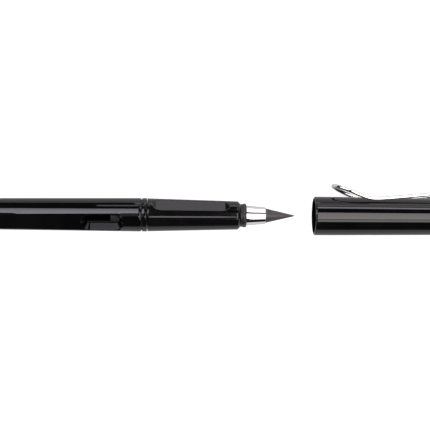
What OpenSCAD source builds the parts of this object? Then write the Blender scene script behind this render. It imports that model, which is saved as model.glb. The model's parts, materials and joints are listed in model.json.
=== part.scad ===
// Capped everlasting pencil: a metal-pointed writing stick in a pen-style body.
// The pen's axis is X. X = 0 is the flat rear end of the barrel, and the point
// and the cap lie towards +X. The pen lies on its side, +Z up. At rest the cap
// is off, in line with the pen and a short way ahead of the point.

/* [Barrel] */
// Length of the barrel
barrel_len = 78.8; // [74:0.1:84]
// Diameter at the barrel's front edge
barrel_front_d = 12.8; // [12.6:0.05:12.95]
// Diameter at the barrel's rear end
barrel_rear_d = 11.7; // [11.5:0.1:12.2]
// Distance between the two flats
across_flats = 9.9; // [9.7:0.1:10.2]
// Distance from the barrel's front edge to the front end of each flat
flat_setback = 6.6; // [6.4:0.1:8]
// Roll of the barrel about its axis, as it lies
barrel_roll = 35; // [-90:1:90]

/* [Windows] */
// Length of each window at the surface of its flat
window_len = 16.2; // [14:0.1:18]
// Width of each window at the surface of its flat
window_width = 7; // [6.2:0.1:7.1]
// Width of the sloping border all round the slot
window_border = 1.8; // [1.4:0.05:2]

/* [Section] */
// Length of the grip, without its front chamfer
grip_len = 34.5; // [33:0.1:40]
// Diameter of the grip beside the trim ring
grip_rear_d = 12.6; // [12.4:0.05:12.7]
// Diameter of the grip at its front bead
grip_front_d = 10.8; // [10.6:0.05:11]
// Angle between the two finger facets, around the axis
facet_spread = 105; // [90:1:120]
// Distance from the axis to a facet, as a part of the grip's radius
facet_depth = 0.89; // [0.84:0.01:0.95]
// Roll of the section about its axis, as it is screwed in
section_roll = -5; // [-90:1:90]

/* [Point] */
// Length of the chrome ferrule
ferrule_len = 7.4; // [6:0.1:9]
// Length of the graphite-coloured cone
cone_len = 11; // [8:0.1:11.5]
// Diameter of the cone's base
cone_d = 5.6; // [5.2:0.1:5.8]
// Advance of the point's thread in one turn
tip_pitch = 0.7; // [0.5:0.1:1]

/* [Cap] */
// Length of the cap's shell
cap_len = 65; // [64.8:0.1:70]
// Diameter at the cap's mouth
cap_mouth_d = 14.8; // [14.6:0.1:15.2]
// Loss of radius for each millimetre from the cap's mouth
cap_taper = 0.009; // [0.007:0.0005:0.012]
// Space between the point and the cap's mouth when the cap is off
cap_gap = 7.5; // [4:0.5:20]
// How far the cap's mouth overlaps the barrel when it is on
cap_overlap = 0.8; // [0.6:0.1:1.3]
// Lean of the clip towards the table, from the horizontal
cap_lean = 4.5; // [0:0.5:5]

/* [Clip] */
// Diameter of the clip's wire
wire_d = 1.5; // [1.2:0.1:1.6]
// Width of the wire loop, between the centres of its legs
loop_width = 11.6; // [11:0.1:11.8]
// Distance from the cap's mouth to the middle of the loop's end
loop_start = 7.5; // [6:0.1:9]

/* [Hidden] */

$fn = 96;
slip = 0.1;             // radial clearance of a fit that turns or slides
overrun = 1;            // how far a cutter passes the surface that it cuts

black = [0.03, 0.03, 0.035];
chrome = [0.86, 0.87, 0.88];
brass = [0.78, 0.62, 0.32];
graphite = [0.25, 0.25, 0.26];
rubber = [0.06, 0.06, 0.06];

// Barrel
barrel_front_r = barrel_front_d / 2;
barrel_rear_r = barrel_rear_d / 2;
flat_h = across_flats / 2;
flat_end = barrel_len - flat_setback;
flat_cove_r = 2.5;      // radius of the run-out at the front end of each flat
bore_r = 3.45;
front_round_len = 0.9;  // the barrel's front edge is rounded over this length
front_round_h = 0.25;
mouth_bore_r = 5.1;     // wider bore that holds the thread bush
bush_start = barrel_len - 6;
bush_end = barrel_len - 0.4;
plug_head_r = 4.1;
plug_head_len = 1.2;
plug_len = 6;
edge = 0.25;            // small bevel on exposed edges

// Windows
window_end = barrel_len - 6.65;
window_start = window_end - window_len;
window_depth = window_border; // the border slopes at 45 degrees

// Trim ring and section
ring_gap = 0.26;
ring_start = barrel_len + ring_gap;
ring_len = 1.9;
o_ring_inset = 0.5;  // the o-ring stays this far inside the ring's outer surface
grip_gap = 0.16;
ring_r = barrel_front_r;
grip_start = ring_start + ring_len + grip_gap;
grip_end = grip_start + grip_len;
nose_len = 0.9;
nose_end = grip_end + nose_len;
grip_rear_r = grip_rear_d / 2;
grip_front_r = grip_front_d / 2;
thread_r = 4.2;         // outside of the section's male thread
thread_pitch = 1;       // advance in one turn
thread_start = barrel_len - 5.7;
nipple_r = 3.1;
nipple_start = barrel_len - 11.7;
nipple_spigot_r = 2.4;
nipple_spigot_len = 5;
core_r = 4.3;           // section core where the grip is moulded round it
socket_len = 11;
socket_r = 3.4;
facet_start = grip_start + 5.2;
facet_end = grip_end - 6.4;
facet_run = 8;          // radius of the run-out at each end of a facet

// Point
stud_r = 2.5;
stud_len = 8;
neck_r = 4.35;
neck_len = 0.8;
seal_start = nose_end + neck_len;
seal_len = 1.4;
seal_r = 4.55;
seal_groove_r = 3.45;
ferrule_start = seal_start + seal_len;
ferrule_end = ferrule_start + ferrule_len;
ferrule_rear_r = 3.85;
ferrule_front_r = 3.2;
spigot_r = 2.6;
spigot_len = 3.4;
cone_r = cone_d / 2;
cone_stub_r = 2.3;
cone_stub_len = 3.2;
core_pin_r = 0.9;
tip_x = ferrule_end + cone_len;

// Cap
mouth_x = tip_x + cap_gap;
cap_mouth_r = cap_mouth_d / 2;
cap_bore_mouth_r = 6.65;
cap_bore_deep_r = 5.85;
cap_on_x = barrel_len - cap_overlap;    // place of the cap's mouth when it is on
liner_start = nose_end + 0.2 - cap_on_x; // depths are measured from the cap's mouth
liner_end = tip_x + 1.6 - cap_on_x;
liner_r = 5.15;
liner_floor = 0.8;
retainer_len = 2.4;
washer_len = 0.3;
finial_len = 1.8;
finial_r = 4.8;
stem_r = 1.6;

// Clip
wire_r = wire_d / 2;
bend_at = 21;           // where the loop comes closest to the cap
fall = -0.165;          // mean slope of the loop's side view
turn = 0.265;           // half the change of slope at the bend
bend_round = 2.5;       // how gently the slope changes
bend_h = 5.75;
loop_round = 7;         // length of the loop's rounded end
leg_half = loop_width / 2;
neck_at = 48;           // where the legs start to draw together
neck_half = leg_half - 0.3;
tail_half = 2.9;        // half the distance between the tails in the cap
tail_at = 63;           // depth at which the tails enter the cap
tail_foot_h = 2.4;
leg_end = 58.6;         // where a leg starts to turn down into the cap
wire_sides = 12;

function cap_r(depth) = cap_mouth_r - cap_taper * depth;
function clip_h(depth) = bend_h + fall * (depth - bend_at)
                         + turn * sqrt(pow(depth - bend_at, 2) + pow(bend_round, 2));

// A body turned about the pen's axis, from points [place along the pen, radius]
module turned(points) {
    rotate([0, 90, 0])
        rotate_extrude()
            polygon([for (p = points) [p[1], p[0]]]);
}

// A round bar along the pen's axis
module bar(x0, x1, r) {
    translate([x0, 0, 0])
        rotate([0, 90, 0])
            cylinder(h = x1 - x0, r = r);
}

// A tube along the pen's axis
module tube(x0, x1, r_out, r_in) {
    difference() {
        bar(x0, x1, r_out);
        bar(x0 - overrun, x1 + overrun, r_in);
    }
}

// Grooves round a bar of radius r, one for each turn of its thread
module thread_grooves(x0, x1, pitch, r, depth) {
    for (x = [x0 + pitch:pitch:x1 - pitch])
        translate([x, 0, 0])
            turned([[-depth, r + slip], [0, r - depth], [depth, r + slip]]);
}

// ---- Barrel ----

// Everything outside one flat, with a coved run-out at the front end
module flat_cutter() {
    reach = 20;
    translate([-overrun, -reach / 2, flat_h])
        cube([flat_end - flat_cove_r + overrun, reach, reach]);
    translate([flat_end - flat_cove_r, reach / 2, flat_h + flat_cove_r])
        rotate([90, 0, 0])
            cylinder(h = reach, r = flat_cove_r);
}

// One window: a slot with round ends and a border that slopes in all round
module window_cutter() {
    outer_r = window_width / 2;
    inner_r = outer_r - window_border;
    x0 = window_start + outer_r;
    x1 = window_end - outer_r;
    for (x = [x0, x1]) {
        translate([x, 0, flat_h - window_depth])
            cylinder(h = window_depth, r1 = inner_r, r2 = outer_r);
        translate([x, 0, 0])
            cylinder(h = flat_h, r = inner_r);
        translate([x, 0, flat_h])
            cylinder(h = overrun * 2, r = outer_r);
    }
    translate([x0, 0, 0])
        rotate([90, 0, 90])
            linear_extrude(x1 - x0)
                polygon([[-inner_r, 0], [inner_r, 0], [inner_r, flat_h - window_depth],
                         [outer_r, flat_h], [outer_r, flat_h + overrun * 2],
                         [-outer_r, flat_h + overrun * 2], [-outer_r, flat_h],
                         [-inner_r, flat_h - window_depth]]);
}

module barrel() {
    color(black)
        rotate([barrel_roll, 0, 0])
            difference() {
                turned([[0, 0], [0, barrel_rear_r - edge * 3], [edge * 3, barrel_rear_r],
                        for (a = [0:15:90]) [barrel_len - front_round_len * (1 - sin(a)),
                                             barrel_front_r - front_round_h * (1 - cos(a))],
                        [barrel_len, 0]]);
                bar(-overrun, barrel_len, bore_r);
                bar(-overrun, plug_head_len, plug_head_r);
                bar(bush_start, barrel_len + overrun, mouth_bore_r);
                for (side = [0, 180])
                    rotate([side, 0, 0]) {
                        flat_cutter();
                        window_cutter();
                    }
            }
}

module barrel_end_plug() {
    color(black)
        turned([[0, 0], [0, plug_head_r - edge], [edge, plug_head_r], [plug_head_len, plug_head_r],
                [plug_head_len, bore_r], [plug_len - edge * 2, bore_r],
                [plug_len, bore_r - edge * 2], [plug_len, 0]]);
}

module barrel_thread_bush() {
    color(brass)
        tube(bush_start, bush_end, mouth_bore_r, thread_r + slip);
}

// ---- Section ----

module section_ring() {
    round_r = 0.3;
    color(black)
        difference() {
            turned([[ring_start, 0], [ring_start, ring_r - round_r],
                    for (a = [15:15:90]) [ring_start + round_r * (1 - cos(a)),
                                          ring_r - round_r * (1 - sin(a))],
                    for (a = [90:-15:15]) [ring_start + ring_len - round_r * (1 - cos(a)),
                                           ring_r - round_r * (1 - sin(a))],
                    [ring_start + ring_len, ring_r - round_r], [ring_start + ring_len, 0]]);
            bar(ring_start - overrun, ring_start + ring_len + overrun, thread_r + slip);
        }
}

// Seal between the barrel's front edge and the trim ring
module thread_o_ring() {
    seal_thickness = ring_gap - 0.06;
    color(rubber)
        tube(ring_start - seal_thickness, ring_start, ring_r - o_ring_inset, thread_r + slip);
}

// Inner body of the section: the male thread and the tube that the grip covers
module section_core() {
    color(black)
        difference() {
            turned([[thread_start, 0], [thread_start, thread_r - edge],
                    [thread_start + edge, thread_r], [grip_start, thread_r], [grip_start, core_r],
                    [grip_end, core_r], [grip_end, 0]]);
            bar(thread_start - overrun, thread_start + nipple_spigot_len, nipple_spigot_r);
            thread_grooves(thread_start, barrel_len, thread_pitch, thread_r, 0.35);
            bar(grip_end - socket_len, grip_end + overrun, socket_r);
        }
}

// Closed nipple pressed into the rear of the core, seen through the windows
module section_nipple() {
    color(graphite)
        turned([[nipple_start, 0], [nipple_start, nipple_r - edge], [nipple_start + edge, nipple_r],
                [thread_start, nipple_r], [thread_start, nipple_spigot_r],
                [thread_start + nipple_spigot_len, nipple_spigot_r],
                [thread_start + nipple_spigot_len, 0]]);
}

// A finger facet: a slightly tilted plane with a rounded run-out at each end
module facet_cutter() {
    reach = 16;
    h0 = grip_rear_r * facet_depth;
    h1 = grip_front_r * facet_depth;
    slope = atan((h0 - h1) / (grip_end - grip_start));
    flat_len = facet_end - facet_start;
    translate([facet_start, 0, h0 - (facet_start - grip_start) * tan(slope)])
        rotate([0, slope, 0]) {
            translate([0, -reach / 2, 0])
                cube([flat_len, reach, reach]);
            for (x = [0, flat_len])
                translate([x, reach / 2, facet_run])
                    rotate([90, 0, 0])
                        cylinder(h = reach, r = facet_run);
        }
}

module grip_section() {
    color(black)
        rotate([section_roll, 0, 0])
            difference() {
                turned([[grip_start, 0], [grip_start, grip_rear_r - edge], [grip_start + edge, grip_rear_r],
                        [grip_end, grip_front_r], [nose_end, neck_r + slip / 2], [nose_end, 0]]);
                bar(grip_start - overrun, grip_end, core_r);
                bar(grip_end - overrun, nose_end + overrun, stud_r + slip);
                for (side = [-1, 1])
                    rotate([side * facet_spread / 2 - 90, 0, 0])
                        facet_cutter();
            }
}

module tip_socket() {
    color(brass)
        tube(grip_end - socket_len, grip_end, socket_r, stud_r + slip);
}

// ---- Point ----

module seal_ring() {
    bulge = seal_len / 2;
    color(rubber)
        difference() {
            turned([[seal_start, 0], [seal_start, seal_r - bulge],
                    for (a = [15:15:165]) [seal_start + bulge * (1 - cos(a)),
                                           seal_r - bulge + bulge * sin(a)],
                    [seal_start + seal_len, seal_r - bulge], [seal_start + seal_len, 0]]);
            bar(seal_start - overrun, seal_start + seal_len + overrun, seal_groove_r + slip / 2);
        }
}

// Black carrier of the point: threaded stud, neck, seat for the seal, and spigot
module tip_holder() {
    stud_start = nose_end - stud_len;
    color(black)
        difference() {
            turned([[stud_start, 0], [stud_start, stud_r - edge],
                    [stud_start + edge, stud_r], [nose_end, stud_r], [nose_end, neck_r],
                    [seal_start, neck_r], [seal_start, seal_groove_r],
                    [ferrule_start, seal_groove_r], [ferrule_start, spigot_r],
                    [ferrule_start + spigot_len, spigot_r], [ferrule_start + spigot_len, 0]]);
            thread_grooves(stud_start, grip_end, tip_pitch, stud_r, 0.22);
        }
}

module tip_ferrule() {
    lip = 0.12;
    color(chrome)
        difference() {
            turned([[ferrule_start, 0], [ferrule_start, ferrule_rear_r - lip],
                    [ferrule_start + lip, ferrule_rear_r], [ferrule_end - lip, ferrule_front_r],
                    [ferrule_end, ferrule_front_r - lip], [ferrule_end, 0]]);
            bar(ferrule_start - overrun, ferrule_start + spigot_len, spigot_r);
            bar(ferrule_start, ferrule_end + overrun, cone_stub_r);
        }
}

module graphite_cone() {
    point_r = 0.25;
    color(graphite)
        difference() {
            turned([[ferrule_end - cone_stub_len, 0], [ferrule_end - cone_stub_len, cone_stub_r],
                    [ferrule_end, cone_stub_r], [ferrule_end, cone_r],
                    [tip_x - point_r, point_r], [tip_x, point_r / 3], [tip_x, 0]]);
            bar(ferrule_end - cone_stub_len - overrun, ferrule_end, core_pin_r);
        }
}

// Steel pin that keys the cone to its holder
module cone_core() {
    color(chrome)
        bar(ferrule_start + spigot_len, ferrule_end, core_pin_r);
}

// ---- Cap ----

module cap_place() {
    translate([mouth_x, 0, 0])
        rotate([-cap_lean, 0, 0])
            children();
}

// Inner cap: the seal ring pushes into its mouth, and that holds the cap on
module cap_liner() {
    mouth_r = seal_r + slip;
    deep_r = ferrule_rear_r;
    neck_at = liner_start + 3;
    color(rubber)
        cap_place()
            difference() {
                bar(liner_start, liner_end, liner_r - slip);
                turned([[liner_start - overrun, 0], [liner_start - overrun, mouth_r],
                        [neck_at, mouth_r], [neck_at + mouth_r - deep_r, deep_r],
                        [liner_end - liner_floor, deep_r], [liner_end - liner_floor, 0]]);
            }
}

module cap_shell() {
    lip_len = 0.6;
    lip_h = 0.3;
    bore_edge = 0.12;
    crown = 0.8;
    cavity_r = liner_r;
    cavity_end = tail_at + retainer_len / 2;
    slot_r = wire_r + 0.35;
    color(black)
        cap_place()
            difference() {
                turned([[0, 0],
                        for (a = [0:15:90]) [lip_len * (1 - cos(a)),
                                             cap_r(lip_len) - lip_h * (1 - sin(a))],
                        for (a = [0:15:90]) [cap_len - crown * (1 - sin(a)),
                                             cap_r(cap_len) - crown * (1 - cos(a))],
                        [cap_len, 0]]);
                turned([[-overrun, 0], [-overrun, cap_bore_mouth_r + bore_edge],
                        [0, cap_bore_mouth_r + bore_edge], [bore_edge, cap_bore_mouth_r],
                        [liner_start, cap_bore_deep_r], [liner_start, 0]]);
                bar(liner_start - overrun, cavity_end, cavity_r);
                bar(cavity_end - overrun, cap_len + overrun, stem_r);
                for (side = [-1, 1])
                    translate([tail_at, 0, side * tail_half])
                        rotate([-90, 0, 0])
                            cylinder(h = cap_mouth_r + overrun, r = slot_r);
            }
}

// Plate inside the cap's end: the wire's tails pass into it, the finial screws into it
module clip_retainer() {
    x0 = tail_at - retainer_len / 2;
    color(brass)
        cap_place()
            difference() {
                bar(x0, x0 + retainer_len, liner_r);
                bar(x0 + retainer_len / 2, x0 + retainer_len + overrun, stem_r);
                for (side = [-1, 1])
                    translate([tail_at, 0, side * tail_half])
                        rotate([-90, 0, 0])
                            cylinder(h = liner_r, r = wire_r + 0.35);
            }
}

module finial_washer() {
    color(chrome)
        cap_place()
            tube(cap_len, cap_len + washer_len, finial_r - edge, stem_r);
}

// Domed end button with the stem that screws into the retainer
module cap_finial() {
    head = cap_len + washer_len;
    dome = 1;
    color(black)
        cap_place()
            turned([[tail_at, 0], [tail_at, stem_r], [head, stem_r], [head, finial_r],
                    for (a = [0:15:90]) [head + finial_len - dome * (1 - sin(a)),
                                         finial_r - 2 * dome * (1 - cos(a))],
                    [head + finial_len, 0]]);
}

// ---- Clip ----

function ease(t) = (1 - cos(180 * t)) / 2;
function leg_w(depth) = let (straight_at = loop_start + loop_round)
    depth < neck_at
        ? leg_half + (neck_half - leg_half) * (depth - straight_at) / (neck_at - straight_at)
        : neck_half + (tail_half - neck_half) * ease((depth - neck_at) / (leg_end - neck_at));

// Centre line of one side of the wire, from the middle of the loop's end to the tail
function wire_half(side) = let (
        turn_r = tail_at - leg_end,
        top_h = clip_h(leg_end))
    [
        for (a = [9:9:90]) let (depth = loop_start + loop_round * (1 - cos(a)))
            [depth, clip_h(depth), side * leg_half * sin(a)],
        for (depth = [loop_start + loop_round + 1:1.6:neck_at])
            [depth, clip_h(depth), side * leg_w(depth)],
        for (depth = [neck_at + 1.5:1.5:leg_end]) [depth, clip_h(depth), side * leg_w(depth)],
        for (a = [15:15:90]) [leg_end + turn_r * sin(a), top_h - turn_r * (1 - cos(a)), side * tail_half],
        [tail_at, tail_foot_h, side * tail_half]
    ];

function reversed(list) = [for (i = [len(list) - 1:-1:0]) list[i]];

function unit(v) = v / norm(v);

// A round wire swept along a path of points
module wire(path, r, sides) {
    last = len(path) - 1;
    tangents = [for (i = [0:last]) unit(path[min(i + 1, last)] - path[max(i - 1, 0)])];
    points = [for (i = [0:last])
        let (side_dir = unit(cross(tangents[i], [0.31, 1, 0.05])), up = cross(side_dir, tangents[i]))
            for (k = [0:sides - 1])
                path[i] + r * (cos(360 * k / sides) * side_dir + sin(360 * k / sides) * up)];
    faces = concat(
        [[for (k = [0:sides - 1]) k]],
        [for (i = [0:last - 1], k = [0:sides - 1])
            let (n = (k + 1) % sides)
                [i * sides + k, (i + 1) * sides + k, (i + 1) * sides + n, i * sides + n]],
        [[for (k = [sides - 1:-1:0]) last * sides + k]]);
    polyhedron(points, faces, convexity = 6);
}

module clip_wire() {
    nose = [[loop_start, clip_h(loop_start), 0]];
    color(chrome)
        cap_place()
            wire(concat(reversed(wire_half(-1)), nose, wire_half(1)), wire_r, wire_sides);
}

barrel();
barrel_end_plug();
barrel_thread_bush();
section_ring();
thread_o_ring();
section_core();
section_nipple();
grip_section();
tip_socket();
seal_ring();
tip_holder();
tip_ferrule();
graphite_cone();
cone_core();
cap_liner();
cap_shell();
clip_wire();
clip_retainer();
finial_washer();
cap_finial();
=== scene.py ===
import json
import math

import bmesh
import bpy
from mathutils import Matrix, Vector

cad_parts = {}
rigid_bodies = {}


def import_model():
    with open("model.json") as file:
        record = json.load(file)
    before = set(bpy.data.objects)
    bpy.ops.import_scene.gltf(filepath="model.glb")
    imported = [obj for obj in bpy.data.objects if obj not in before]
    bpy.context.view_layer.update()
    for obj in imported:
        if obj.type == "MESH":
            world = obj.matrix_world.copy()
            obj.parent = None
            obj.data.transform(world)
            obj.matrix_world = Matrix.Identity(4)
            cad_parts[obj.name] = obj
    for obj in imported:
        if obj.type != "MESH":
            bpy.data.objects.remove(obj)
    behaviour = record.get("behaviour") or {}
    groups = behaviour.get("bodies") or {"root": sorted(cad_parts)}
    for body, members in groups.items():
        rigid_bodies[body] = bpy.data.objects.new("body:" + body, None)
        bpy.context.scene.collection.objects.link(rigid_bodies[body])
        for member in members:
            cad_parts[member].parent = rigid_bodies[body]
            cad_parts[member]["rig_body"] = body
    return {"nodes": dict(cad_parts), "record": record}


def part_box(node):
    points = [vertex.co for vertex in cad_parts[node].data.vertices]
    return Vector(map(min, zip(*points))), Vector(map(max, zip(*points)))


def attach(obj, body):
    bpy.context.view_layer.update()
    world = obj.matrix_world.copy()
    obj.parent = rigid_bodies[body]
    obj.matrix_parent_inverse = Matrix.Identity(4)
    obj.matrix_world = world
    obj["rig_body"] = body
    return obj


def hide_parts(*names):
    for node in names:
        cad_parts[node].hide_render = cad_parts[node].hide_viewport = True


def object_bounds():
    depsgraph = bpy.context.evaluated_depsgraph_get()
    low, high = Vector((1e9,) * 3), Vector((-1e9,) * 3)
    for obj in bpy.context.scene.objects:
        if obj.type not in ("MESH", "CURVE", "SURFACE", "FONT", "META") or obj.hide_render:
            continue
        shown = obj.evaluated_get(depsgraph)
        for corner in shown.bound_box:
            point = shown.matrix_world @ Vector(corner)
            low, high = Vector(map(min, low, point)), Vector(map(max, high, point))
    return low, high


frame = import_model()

MM = 0.001
nodes = frame["nodes"]


def corners(box):
    return [list(box[0]), list(box[1])]


cad_box = corners(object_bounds())

# The pen's axis is X, and the pen lies on the floor with +Z up.
barrel_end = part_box("barrel")[1].x
ring_start, ring_end = (corner.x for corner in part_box("section_ring"))
grip_start, nose_end = (corner.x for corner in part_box("grip_section"))
thread_start, core_end = (corner.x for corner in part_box("section_core"))
seal_start, seal_end = (corner.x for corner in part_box("seal_ring"))
ferrule_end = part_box("tip_ferrule")[1].x
stud_start, spigot_end = (corner.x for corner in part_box("tip_holder"))
cone_back, tip_x = (corner.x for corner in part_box("graphite_cone"))
mouth_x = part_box("cap_shell")[0].x
ring_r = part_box("section_ring")[1].z
seal_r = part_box("seal_ring")[1].z
ferrule_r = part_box("tip_ferrule")[1].z
cone_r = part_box("graphite_cone")[1].z
floor_z = cad_box[0][2]
cap_lean = math.radians(-4.5)

# The barrel's flats and windows
barrel_roll = 35
flat_h = 4.95 * MM
window_half_width = 3.5 * MM

# Radii of the section and the point
thread_r = 4.2 * MM
core_r = 4.3 * MM
thread_bore_r = 4.3 * MM
spigot_bore_r = 2.4 * MM
socket_r = 3.4 * MM
grip_rear_r = 6.3 * MM
grip_front_r = 5.4 * MM
neck_r = 4.35 * MM
stud_r = 2.5 * MM
seal_groove_r = 3.45 * MM
spigot_r = 2.6 * MM
cone_stub_r = 2.3 * MM
core_pin_r = 0.9 * MM
ferrule_front_r = 3.2 * MM
slip = 0.1 * MM
clip_wire_r = 0.745 * MM

frame_centre_x = 106.9 * MM
frame_width = 164.1 * MM
camera_x = 92 * MM
camera_height = 430 * MM
camera_roll = math.radians(0.4)


# ---- Mesh helpers ----

def finished(name, bm, sharp_angle=30):
    """An object from a bmesh, smooth apart from the edges that turn more than sharp_angle."""
    bmesh.ops.recalc_face_normals(bm, faces=bm.faces)
    mesh = bpy.data.meshes.new(name)
    bm.to_mesh(mesh)
    bm.free()
    for polygon in mesh.polygons:
        polygon.use_smooth = True
    mesh.set_sharp_from_angle(angle=math.radians(sharp_angle))
    obj = bpy.data.objects.new(name, mesh)
    bpy.context.scene.collection.objects.link(obj)
    even = obj.modifiers.new("even_shading", "WEIGHTED_NORMAL")
    even.keep_sharp = True
    even.weight = 100
    return obj


def filleted(corners_in):
    """Outline points (x, r) from corners (x, r, fillet radius), each corner rounded by an arc."""
    steps = 6
    outline = []
    count = len(corners_in)
    for i, (x, r, radius) in enumerate(corners_in):
        here = Vector((x, r))
        if radius <= 0:
            outline.append(here)
            continue
        before = (Vector(corners_in[i - 1][:2]) - here).normalized()
        after = (Vector(corners_in[(i + 1) % count][:2]) - here).normalized()
        half = before.angle(after) / 2
        reach = radius / math.tan(half)
        centre = here + (before + after).normalized() * (radius / math.sin(half))
        start = (here + before * reach - centre).normalized()
        end = (here + after * reach - centre).normalized()
        for k in range(steps + 1):
            outline.append(centre + radius * start.slerp(end, k / steps))
    return outline


def divided(outline, x0, x1, step):
    """The outline with more points on its long straight runs between x0 and x1."""
    fine = [outline[0]]
    for point in outline[1:]:
        before = fine[-1]
        run = point - before
        inside = min(before.x, point.x) > x0 - step and max(before.x, point.x) < x1 + step
        count = max(1, math.ceil(abs(run.x) / step)) if inside else 1
        for k in range(1, count + 1):
            fine.append(before + run * (k / count))
    return fine


def turned(name, outline, shape=None, segments=144):
    """A body turned about the pen's axis from an outline of (x, r) points.
    shape(x, r, angle) may change the radius at each angle. The angle is 0 straight up and
    grows towards +Y. An outline that does not end on the axis is closed into a loop."""
    on_axis = 1e-7
    bm = bmesh.new()
    rings = []
    for x, r in outline:
        if r < on_axis:
            rings.append([bm.verts.new((x, 0, 0))])
            continue
        ring = []
        for k in range(segments):
            angle = 2 * math.pi * k / segments
            radius = shape(x, r, angle) if shape else r
            ring.append(bm.verts.new((x, radius * math.sin(angle), radius * math.cos(angle))))
        rings.append(ring)
    pairs = list(zip(rings, rings[1:]))
    if len(rings[0]) > 1:
        pairs.append((rings[-1], rings[0]))
    for a, b in pairs:
        for k in range(segments):
            n = (k + 1) % segments
            corners_of_face = [a[k % len(a)], a[n % len(a)], b[n % len(b)], b[k % len(b)]]
            unique = list(dict.fromkeys(corners_of_face))
            if len(unique) > 2:
                bm.faces.new(unique)
    return finished(name, bm)


def swept(name, path, radius):
    """A round wire along a path of points, closed at both ends."""
    sides = 24
    bm = bmesh.new()
    rings = []
    side = Vector((0, 0, 1))
    for i, point in enumerate(path):
        tangent = (path[min(i + 1, len(path) - 1)] - path[max(i - 1, 0)]).normalized()
        side = (side - tangent * side.dot(tangent)).normalized()
        up = tangent.cross(side)
        ring = []
        for k in range(sides):
            angle = 2 * math.pi * k / sides
            outward = math.cos(angle) * side + math.sin(angle) * up
            ring.append(bm.verts.new(point + radius * outward))
        rings.append(ring)
    for a, b in zip(rings, rings[1:]):
        for k in range(sides):
            n = (k + 1) % sides
            bm.faces.new([a[k], a[n], b[n], b[k]])
    bm.faces.new(rings[0])
    bm.faces.new(list(reversed(rings[-1])))
    return finished(name, bm, sharp_angle=50)


# ---- Material helpers ----

class Nodes:
    """A new material's node tree, with short calls for the nodes that the materials share."""

    def __init__(self, name):
        self.material = bpy.data.materials.new(name)
        self.material.use_nodes = True
        self.tree = self.material.node_tree
        self.shader = self.tree.nodes["Principled BSDF"]
        self.place = self.tree.nodes.new("ShaderNodeTexCoord").outputs["Object"]

    def link(self, a, b):
        self.tree.links.new(a, b)

    def set(self, **values):
        for name, value in values.items():
            self.shader.inputs[name.replace("_", " ")].default_value = value

    def stretched(self, scale):
        """The object's own coordinates in metres, multiplied by scale = (x, y, z)."""
        mapping = self.tree.nodes.new("ShaderNodeMapping")
        mapping.inputs["Scale"].default_value = scale
        self.link(self.place, mapping.inputs["Vector"])
        return mapping.outputs["Vector"]

    def noise(self, scale, detail=3.0, roughness=0.55, distortion=0.0):
        node = self.tree.nodes.new("ShaderNodeTexNoise")
        node.inputs["Scale"].default_value = 1.0
        node.inputs["Detail"].default_value = detail
        node.inputs["Roughness"].default_value = roughness
        node.inputs["Distortion"].default_value = distortion
        self.link(self.stretched(scale), node.inputs["Vector"])
        return node.outputs["Fac"]

    def remap(self, value, low, high, to_low=0.0, to_high=1.0):
        node = self.tree.nodes.new("ShaderNodeMapRange")
        for name, number in zip(("From Min", "From Max", "To Min", "To Max"),
                                (low, high, to_low, to_high)):
            node.inputs[name].default_value = number
        self.link(value, node.inputs["Value"])
        return node.outputs["Result"]

    def math(self, operation, a, b):
        node = self.tree.nodes.new("ShaderNodeMath")
        node.operation = operation
        for socket, value in zip(node.inputs, (a, b)):
            if isinstance(value, (int, float)):
                socket.default_value = value
            else:
                self.link(value, socket)
        return node.outputs["Value"]

    def ramp(self, value, stops):
        """A colour ramp through stops of (position, linear colour)."""
        node = self.tree.nodes.new("ShaderNodeValToRGB")
        elements = node.color_ramp.elements
        while len(elements) < len(stops):
            elements.new(0.5)
        for element, (position, colour) in zip(elements, stops):
            element.position = position
            element.color = (*colour, 1)
        self.link(value, node.inputs["Fac"])
        return node.outputs["Color"]

    def rounded(self, radius):
        """A normal that rounds off the shape's edges."""
        bevel = self.tree.nodes.new("ShaderNodeBevel")
        bevel.samples = 8
        bevel.inputs["Radius"].default_value = radius
        return bevel.outputs["Normal"]

    def edges(self, rounded):
        """1 on an edge of the shape and 0 away from it."""
        geometry = self.tree.nodes.new("ShaderNodeNewGeometry")
        dot = self.tree.nodes.new("ShaderNodeVectorMath")
        dot.operation = "DOT_PRODUCT"
        self.link(rounded, dot.inputs[0])
        self.link(geometry.outputs["Normal"], dot.inputs[1])
        return self.remap(dot.outputs["Value"], 0.99, 0.9)

    def bump(self, height, distance, under=None):
        node = self.tree.nodes.new("ShaderNodeBump")
        node.inputs["Distance"].default_value = distance
        node.inputs["Strength"].default_value = 1.0
        self.link(height, node.inputs["Height"])
        if under:
            self.link(under, node.inputs["Normal"])
        self.link(node.outputs["Normal"], self.shader.inputs["Normal"])

    def colour(self, output):
        self.link(output, self.shader.inputs["Base Color"])

    def roughness(self, output):
        self.link(output, self.shader.inputs["Roughness"])


# ---- Materials ----

def lacquer(name):
    """The nodes of polished black lacquer: nearly flat, with fine wiping marks and duller edges."""
    m = Nodes(name)
    m.set(IOR=1.5)
    clouds = m.noise((90, 90, 90), detail=4)
    wipes = m.noise((500, 9000, 9000), detail=4, roughness=0.7)
    m.colour(m.ramp(clouds, [(0.3, (0.0022, 0.0023, 0.0028)), (0.7, (0.0045, 0.0045, 0.005))]))
    haze = m.remap(wipes, 0.35, 0.8, 0.02, 0.075)
    rounded = m.rounded(0.08 * MM)
    m.roughness(m.math("ADD", haze, m.math("MULTIPLY", m.edges(rounded), 0.1)))
    m.bump(m.noise((420, 420, 420), detail=1.5), 0.0006 * MM, under=rounded)
    return m


def black_lacquer():
    return lacquer("black_lacquer_paint").material


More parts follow.
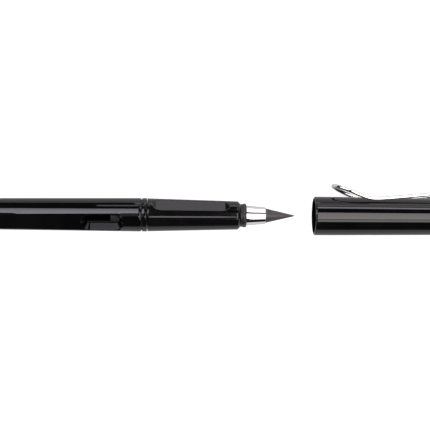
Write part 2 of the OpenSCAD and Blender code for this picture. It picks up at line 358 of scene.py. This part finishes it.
def barrel_lacquer():
    """The same lacquer with its reflection turned down on the slopes of the windows: painted shade
    in the windows' hollows.
    """
    flat_margin = 0.06 * MM
    open_level, painted_shade_level = 0.5, 0.12
    m = lacquer("barrel_lacquer_paint")
    split = m.tree.nodes.new("ShaderNodeSeparateXYZ")
    m.link(m.place, split.inputs[0])
    roll = math.radians(barrel_roll)
    outward = m.math("SUBTRACT", m.math("MULTIPLY", split.outputs["Z"], math.cos(roll)),
                     m.math("MULTIPLY", split.outputs["Y"], math.sin(roll)))
    across = m.math("ADD", m.math("MULTIPLY", split.outputs["Y"], math.cos(roll)),
                    m.math("MULTIPLY", split.outputs["Z"], math.sin(roll)))
    # Painted shade: the mask below marks the inside of each window, where the reflection is made
    # weaker.
    below = m.math("LESS_THAN", m.math("ABSOLUTE", outward, 0), flat_h - flat_margin)
    inside = m.math("LESS_THAN", m.math("ABSOLUTE", across, 0), window_half_width)
    window_shade_mask = m.math("MULTIPLY", below, inside)
    level = m.remap(window_shade_mask, 0, 1, open_level, painted_shade_level)
    m.link(level, m.shader.inputs["Specular IOR Level"])
    return m.material


def black_grip():
    """Moulded black plastic with a moulding's slight ripple and a soft shine from the fingers."""
    m = Nodes("black_grip_plastic")
    m.set(IOR=1.5)
    clouds = m.noise((140, 140, 140), detail=4)
    rub = m.noise((700, 2500, 2500), detail=5, roughness=0.7)
    m.colour(m.ramp(clouds, [(0.3, (0.003, 0.003, 0.0034)), (0.7, (0.006, 0.0058, 0.0064))]))
    haze = m.remap(rub, 0.3, 0.8, 0.06, 0.16)
    rounded = m.rounded(0.05 * MM)
    m.roughness(m.math("ADD", haze, m.math("MULTIPLY", m.edges(rounded), 0.1)))
    m.bump(m.noise((900, 900, 900), detail=3), 0.0012 * MM, under=rounded)
    return m.material


def black_carrier():
    """Satin black plastic with the fine rings that turning leaves."""
    m = Nodes("black_carrier_plastic")
    rings = m.noise((16000, 300, 300), detail=2)
    clouds = m.noise((600, 600, 600), detail=4)
    m.colour(m.ramp(clouds, [(0.3, (0.010, 0.010, 0.011)), (0.7, (0.022, 0.021, 0.022))]))
    m.roughness(m.remap(rings, 0.3, 0.7, 0.28, 0.45))
    m.bump(rings, 0.004 * MM)
    return m.material


def grey_nipple():
    """Dark grey moulded plastic, with lighter dusty patches."""
    m = Nodes("grey_nipple_plastic")
    dust = m.noise((1200, 1200, 1200), detail=5, roughness=0.7)
    m.colour(m.ramp(dust, [(0.35, (0.022, 0.02, 0.02)), (0.7, (0.05, 0.045, 0.045))]))
    m.roughness(m.remap(dust, 0.3, 0.7, 0.3, 0.5))
    m.bump(dust, 0.004 * MM)
    return m.material


def liner_plastic():
    """Dull dark plastic of the inner cap, with faint moulding lines along it."""
    m = Nodes("liner_plastic_moulded")
    lines = m.noise((200, 5000, 5000), detail=3)
    m.colour(m.ramp(lines, [(0.3, (0.018, 0.018, 0.019)), (0.7, (0.034, 0.033, 0.034))]))
    m.roughness(m.remap(lines, 0.3, 0.7, 0.42, 0.6))
    m.bump(lines, 0.003 * MM)
    return m.material


def seal_rubber():
    """Black rubber that has picked up grey scuffs and dust."""
    m = Nodes("seal_rubber_black")
    scuffs = m.noise((1500, 900, 900), detail=5, roughness=0.75, distortion=0.8)
    m.colour(m.ramp(scuffs, [(0.42, (0.008, 0.008, 0.009)), (0.56, (0.03, 0.03, 0.032)),
                             (0.72, (0.16, 0.155, 0.16))]))
    m.roughness(m.remap(scuffs, 0.4, 0.65, 0.28, 0.6))
    m.bump(scuffs, 0.02 * MM)
    return m.material


def chrome():
    """Bright chrome with fine polishing marks along it."""
    m = Nodes("chrome_polished")
    m.set(Metallic=1.0)
    marks = m.noise((900, 9000, 9000), detail=4, roughness=0.7)
    clouds = m.noise((350, 350, 350), detail=3)
    m.colour(m.ramp(clouds, [(0.3, (0.86, 0.865, 0.875)), (0.7, (0.93, 0.93, 0.935))]))
    m.roughness(m.remap(marks, 0.3, 0.75, 0.03, 0.1))
    m.bump(marks, 0.00015 * MM)
    return m.material


def thread_brass():
    """Turned brass with rings from the lathe and a darker patina in patches."""
    m = Nodes("thread_brass_turned")
    m.set(Metallic=1.0)
    patina = m.noise((700, 700, 700), detail=5, roughness=0.65)
    rings = m.noise((20000, 200, 200), detail=2)
    m.colour(m.ramp(patina, [(0.35, (0.42, 0.27, 0.10)), (0.65, (0.66, 0.47, 0.20))]))
    m.roughness(m.remap(rings, 0.3, 0.7, 0.18, 0.36))
    m.bump(rings, 0.004 * MM)
    return m.material


def graphite():
    """Pressed graphite: satin grey, with fine streaks from base to point and small pits."""
    m = Nodes("graphite_pressed")
    m.set(Metallic=0.35)
    streaks = m.noise((350, 6500, 6500), detail=5, roughness=0.7)
    pits = m.noise((5200, 5200, 5200), detail=3)
    m.colour(m.ramp(streaks, [(0.3, (0.045, 0.043, 0.044)), (0.5, (0.085, 0.082, 0.083)),
                              (0.72, (0.15, 0.145, 0.146))]))
    m.roughness(m.remap(streaks, 0.3, 0.7, 0.34, 0.5))
    both = m.math("ADD", streaks, m.math("MULTIPLY", pits, 0.5))
    m.bump(both, 0.006 * MM)
    return m.material


MATERIALS = {
    "black_lacquer": black_lacquer(),
    "black_grip": black_grip(),
    "black_carrier": black_carrier(),
    "grey_nipple": grey_nipple(),
    "liner_plastic": liner_plastic(),
    "seal_rubber": seal_rubber(),
    "chrome": chrome(),
    "thread_brass": thread_brass(),
    "graphite": graphite(),
}


def painted(obj, slot):
    """Gives obj the material of a record slot."""
    obj.data.materials.clear()
    obj.data.materials.append(MATERIALS[slot])


for row in frame["record"]["subparts"]:
    painted(nodes[row["node"]], row["material_slot"])
nodes["barrel"].data.materials[0] = barrel_lacquer()


# ---- Pieces that stand for CAD nodes ----

def stands_for(obj, node, slot):
    """obj is shown in a CAD node's place, rides on its body and takes its finish."""
    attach(obj, nodes[node]["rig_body"])
    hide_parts(node)
    painted(obj, slot)


def clip_path():
    """Centre line of the clip's wire, from one tail round the loop to the other.
    Depths from the cap's mouth, heights over its axis and half widths are in millimetres."""
    loop_start, loop_round = 7.5, 7
    leg_half, neck_half, tail_half = 5.8, 5.5, 2.9
    neck_at, leg_end, tail_at, tail_foot = 48, 58.6, 63, 2.4
    bend_at, bend_h, fall, turn, bend_round = 21, 5.75, -0.165, 0.265, 2.5

    def height(depth):
        return bend_h + fall * (depth - bend_at) + turn * math.hypot(depth - bend_at, bend_round)

    def half_width(depth):
        if depth < neck_at:
            run = (depth - loop_start - loop_round) / (neck_at - loop_start - loop_round)
            return leg_half + (neck_half - leg_half) * run
        run = (depth - neck_at) / (leg_end - neck_at)
        return neck_half + (tail_half - neck_half) * (1 - math.cos(math.pi * run)) / 2

    half = []
    for angle in range(0, 91, 5):
        a = math.radians(angle)
        depth = loop_start + loop_round * (1 - math.cos(a))
        half.append((depth, height(depth), leg_half * math.sin(a)))
    straight_start = loop_start + loop_round
    steps = 60
    for k in range(1, steps + 1):
        depth = straight_start + (leg_end - straight_start) * k / steps
        half.append((depth, height(depth), half_width(depth)))
    turn_r = tail_at - leg_end
    top = height(leg_end)
    for angle in range(10, 91, 10):
        a = math.radians(angle)
        half.append((leg_end + turn_r * math.sin(a), top - turn_r * (1 - math.cos(a)), tail_half))
    half.append((tail_at, tail_foot, tail_half))
    both = [(d, h, -w) for d, h, w in reversed(half[1:])] + half
    lean = Matrix.Rotation(cap_lean, 4, "X")
    place = Matrix.Translation((mouth_x, 0, 0)) @ lean
    return [place @ (Vector(point) * MM) for point in both]


def threaded(radius, depth, pitch, start, end):
    """A shape for turned(): a right-handed thread cut into the bar of this radius."""
    same_r = 0.01 * MM

    def shape(x, r, angle):
        if abs(r - radius) > same_r or not start < x < end:
            return r
        phase = (x / pitch + angle / (2 * math.pi)) % 1
        run_out = min(1, (x - start) / pitch, (end - x) / pitch)
        return r - depth * run_out * (1 - abs(2 * phase - 1))
    return shape


def section_core():
    pitch, thread_depth, lead_in = 1.0 * MM, 0.35 * MM, 0.3 * MM
    bore_end = thread_start + 5 * MM
    socket_end = core_end - 11 * MM
    outline = filleted([
        (bore_end, 0, 0), (bore_end, spigot_bore_r, 0),
        (thread_start, spigot_bore_r, 0), (thread_start, thread_r, 0.25 * MM),
        (grip_start, thread_r, 0), (grip_start, core_r, 0), (core_end, core_r, 0),
        (core_end, socket_r, 0), (socket_end, socket_r, 0), (socket_end, 0, 0)])
    fine = divided(outline, thread_start, grip_start, pitch / 12)
    return turned("section_core_threaded", fine,
                  threaded(thread_r, thread_depth, pitch, thread_start + lead_in, barrel_end))


def tip_holder():
    pitch, thread_depth, lead_in = 0.7 * MM, 0.22 * MM, 0.25 * MM
    outline = filleted([
        (stud_start, 0, 0), (stud_start, stud_r, 0.2 * MM), (nose_end, stud_r, 0),
        (nose_end, neck_r, 0), (seal_start, neck_r, 0.05 * MM), (seal_start, seal_groove_r, 0),
        (seal_end, seal_groove_r, 0), (seal_end, spigot_r, 0), (spigot_end, spigot_r, 0.1 * MM),
        (spigot_end, 0, 0)])
    fine = divided(outline, stud_start, nose_end, pitch / 12)
    return turned("tip_holder_threaded", fine,
                  threaded(stud_r, thread_depth, pitch, stud_start + lead_in, core_end))


def grip_facets(x, r, angle):
    """The grip's radius where two soft-edged finger facets are cut into it."""
    plane_share, blend, run_out_r = 0.89, 0.14 * MM, 8 * MM
    bore_margin, least_cosine = 0.05 * MM, 0.3
    facet_start, facet_end = grip_start + 5.2 * MM, core_end - 6.4 * MM
    centres = (math.radians(42.5), math.radians(147.5))
    if r < core_r + bore_margin:
        return r
    body_r = grip_rear_r + (grip_front_r - grip_rear_r) * (x - grip_start) / (core_end - grip_start)
    beyond = min(max(facet_start - x, x - facet_end, 0), run_out_r)
    plane = body_r * plane_share + run_out_r - math.sqrt(run_out_r ** 2 - beyond ** 2)
    for centre in centres:
        across = math.cos(angle - centre)
        if across > least_cosine:
            facet_r = plane / across
            share = min(max(0.5 + 0.5 * (facet_r - r) / blend, 0), 1)
            r = facet_r * (1 - share) + r * share - blend * share * (1 - share)
    return r


def grip_section():
    outline = filleted([
        (grip_start, core_r, 0), (grip_start, grip_rear_r, 0.35 * MM),
        (core_end, grip_front_r, 0.7 * MM), (nose_end, neck_r + 0.05 * MM, 0.1 * MM),
        (nose_end, stud_r + slip, 0), (core_end, stud_r + slip, 0), (core_end, core_r, 0)])
    fine = divided(outline, grip_start, nose_end, 0.4 * MM)
    return turned("grip_moulded", fine, grip_facets, segments=216)


def section_ring():
    outline = filleted([
        (ring_start, thread_bore_r, 0), (ring_start, ring_r, 0.35 * MM),
        (ring_end, ring_r, 0.35 * MM), (ring_end, thread_bore_r, 0)])
    return turned("section_ring_rounded", outline)


def seal_ring():
    outline = filleted([
        (seal_start, seal_groove_r + slip / 2, 0), (seal_start, seal_r, 0.4 * MM),
        (seal_end, seal_r, 0.4 * MM), (seal_end, seal_groove_r + slip / 2, 0)])
    return turned("seal_ring_rounded", outline)


def tip_ferrule():
    outline = filleted([
        (seal_end, spigot_r, 0), (seal_end, ferrule_r, 0.12 * MM),
        (ferrule_end, ferrule_front_r, 0.1 * MM), (ferrule_end, cone_stub_r, 0),
        (spigot_end, cone_stub_r, 0), (spigot_end, spigot_r, 0)])
    return turned("tip_ferrule_polished", outline)


def graphite_cone():
    point_r = 0.25 * MM
    outline = filleted([
        (ferrule_end, 0, 0), (ferrule_end, core_pin_r, 0), (cone_back, core_pin_r, 0),
        (cone_back, cone_stub_r, 0.1 * MM), (ferrule_end, cone_stub_r, 0),
        (ferrule_end, cone_r, 0.04 * MM), (tip_x - point_r, point_r, 0.1 * MM),
        (tip_x, point_r / 3, 0.03 * MM), (tip_x, 0, 0)])
    fine = divided(outline, ferrule_end, tip_x, 0.5 * MM)
    return turned("graphite_cone_pressed", fine)


stands_for(swept("clip_wire_bent", clip_path(), clip_wire_r), "clip_wire", "chrome")
stands_for(section_core(), "section_core", "black_carrier")
stands_for(tip_holder(), "tip_holder", "black_carrier")
stands_for(grip_section(), "grip_section", "black_grip")
stands_for(section_ring(), "section_ring", "black_grip")
stands_for(seal_ring(), "seal_ring", "seal_rubber")
stands_for(tip_ferrule(), "tip_ferrule", "chrome")
stands_for(graphite_cone(), "graphite_cone", "graphite")


# ---- Studio ----

def light_card(name, psi, seen_on, radiance, reach, tint, taper=0.0):
    """A glowing card that only reflections show. psi is the span of its directions as seen
    from the pen's axis, from straight up, with + towards -Y. seen_on is the stretch of the pen
    that mirrors it to the camera, radiance its brightness at both ends of psi, and reach its
    distance. taper is the slope of the surface there: it swings the mirrored view along X."""
    def along(x):
        return x + (x - camera_x) * reach / camera_height + 2 * taper * reach

    def across(degrees):
        a = math.radians(degrees)
        return Vector((0, -reach * math.sin(a), reach * math.cos(a)))

    x0, x1 = along(seen_on[0]), along(seen_on[1])
    edge0, edge1 = across(psi[0]), across(psi[1])
    mesh = bpy.data.meshes.new(name)
    mesh.from_pydata([edge0 + Vector((x0, 0, 0)), edge1 + Vector((x0, 0, 0)),
                      edge1 + Vector((x1, 0, 0)), edge0 + Vector((x1, 0, 0))], [], [(0, 1, 2, 3)])
    uv = mesh.uv_layers.new(name="across")
    for corner, place in zip(uv.data, [(0, 0), (1, 0), (1, 1), (0, 1)]):
        corner.uv = place
    obj = bpy.data.objects.new(name, mesh)
    bpy.context.scene.collection.objects.link(obj)
    mesh.materials.append(glow(name, radiance, tint))
    obj.visible_camera = False
    obj.visible_diffuse = False
    obj.visible_shadow = False


def glow(name, radiance, tint):
    """Emission of one tint that runs from radiance[0] to radiance[1] across a card."""
    material = bpy.data.materials.new(name)
    material.use_nodes = True
    tree = material.node_tree
    tree.nodes.clear()
    place = tree.nodes.new("ShaderNodeTexCoord")
    split = tree.nodes.new("ShaderNodeSeparateXYZ")
    level = tree.nodes.new("ShaderNodeMapRange")
    level.inputs["To Min"].default_value = radiance[0]
    level.inputs["To Max"].default_value = radiance[1]
    emission = tree.nodes.new("ShaderNodeEmission")
    emission.inputs["Color"].default_value = (*tint, 1)
    output = tree.nodes.new("ShaderNodeOutputMaterial")
    tree.links.new(place.outputs["UV"], split.inputs[0])
    tree.links.new(split.outputs["X"], level.inputs["Value"])
    tree.links.new(level.outputs["Result"], emission.inputs["Strength"])
    tree.links.new(emission.outputs[0], output.inputs["Surface"])
    return material


CAP_TAPER = 0.009
FERRULE_TAPER = 0.088
GRIP_TAPER = 0.02
GRIP_SIDE_TAPER = -0.013
# How far the cards stand from the pen's axis, in metres
FAR = 0.35
BESIDE = 0.25
CLOSE = 0.12
WARM = (1.0, 0.94, 0.935)
COOL = (0.91, 0.9, 1.0)
ROSY = (1.0, 0.945, 0.99)

cap_span = (mouth_x - 19 * MM, mouth_x + 80 * MM)
barrel_span = (-260 * MM, barrel_end - 1.2 * MM)
front_span = (60 * MM, grip_start + 8 * MM)
grip_span = (ring_start, nose_end)
grip_side_span = (ring_start, mouth_x + 7 * MM)
ferrule_span = (seal_end - 1 * MM, ferrule_end + 1 * MM)

light_card("cap_softbox", (-20, 18), cap_span, (3.6, 4.6), FAR, WARM, CAP_TAPER)
light_card("cap_strip_low", (21, 35), cap_span, (3.0, 3.0), FAR, WARM, CAP_TAPER)
light_card("cap_strip_high", (-56, -46), cap_span, (3.9, 3.9), FAR, ROSY, CAP_TAPER)
light_card("cap_side_panel", (-88, -60), cap_span, (0.6, 1.6), FAR, ROSY, CAP_TAPER)

light_card("barrel_strip", (-41, -10), barrel_span, (3.0, 5.6), FAR, COOL)
light_card("barrel_dim_top", (-6, 10), barrel_span, (0.5, 0.4), FAR, COOL)
light_card("front_strip", (-70, -60), front_span, (1.6, 1.6), FAR, COOL)

light_card("grip_side_panel", (-100, -74), grip_side_span, (1.4, 1.6), BESIDE, ROSY, GRIP_SIDE_TAPER)
light_card("grip_strip", (9, 18), grip_span, (3.4, 3.4), FAR, ROSY, GRIP_TAPER)

light_card("ferrule_panel_high", (-68, -37), ferrule_span, (1.0, 1.4), CLOSE, WARM, FERRULE_TAPER)
light_card("ferrule_panel_top", (-22, 49), ferrule_span, (1.4, 1.4), CLOSE, WARM, FERRULE_TAPER)


def unless_glossy(tree, plain, in_reflections, socket):
    """Drives a socket with one value for reflections and another for everything else."""
    path = tree.nodes.new("ShaderNodeLightPath")
    level = tree.nodes.new("ShaderNodeMapRange")
    level.inputs["To Min"].default_value = plain
    level.inputs["To Max"].default_value = in_reflections
    tree.links.new(path.outputs["Is Glossy Ray"], level.inputs["Value"])
    tree.links.new(level.outputs["Result"], socket)


def floor():
    """A plain pale floor, bright enough to stay white, with a faint shadow under the pen."""
    size = 3.0
    bpy.ops.mesh.primitive_plane_add(size=size, location=(camera_x, 0, floor_z))
    plane = bpy.context.object
    plane.name = "floor"
    material = bpy.data.materials.new("floor_paper")
    material.use_nodes = True
    shader = material.node_tree.nodes["Principled BSDF"]
    shader.inputs["Base Color"].default_value = (0.8, 0.8, 0.8, 1)
    shader.inputs["Roughness"].default_value = 1.0
    shader.inputs["Specular IOR Level"].default_value = 0.0
    shader.inputs["Emission Color"].default_value = (1, 1, 1, 1)
    unless_glossy(material.node_tree, 0.72, 0.0, shader.inputs["Emission Strength"])
    plane.data.materials.append(material)


def world():
    """Pale all round, but dark to a reflection, as in a studio with black walls."""
    made = bpy.data.worlds.new("studio")
    made.use_nodes = True
    tree = made.node_tree
    background = tree.nodes["Background"]
    unless_glossy(tree, 0.9, 0.01, background.inputs["Strength"])
    background.inputs["Color"].default_value = (1.0, 0.985, 0.98, 1)
    bpy.context.scene.world = made


def camera():
    data = bpy.data.cameras.new("camera")
    data.sensor_width = 36
    data.lens = data.sensor_width * camera_height / frame_width
    data.shift_x = (frame_centre_x - camera_x) / frame_width
    data.clip_start = 0.01
    data.clip_end = 20
    obj = bpy.data.objects.new("camera", data)
    obj.location = (camera_x, 0, camera_height)
    obj.rotation_euler = (0, 0, camera_roll)
    bpy.context.scene.collection.objects.link(obj)
    bpy.context.scene.camera = obj


floor()
world()
camera()
bpy.context.scene.view_settings.view_transform = "Standard"
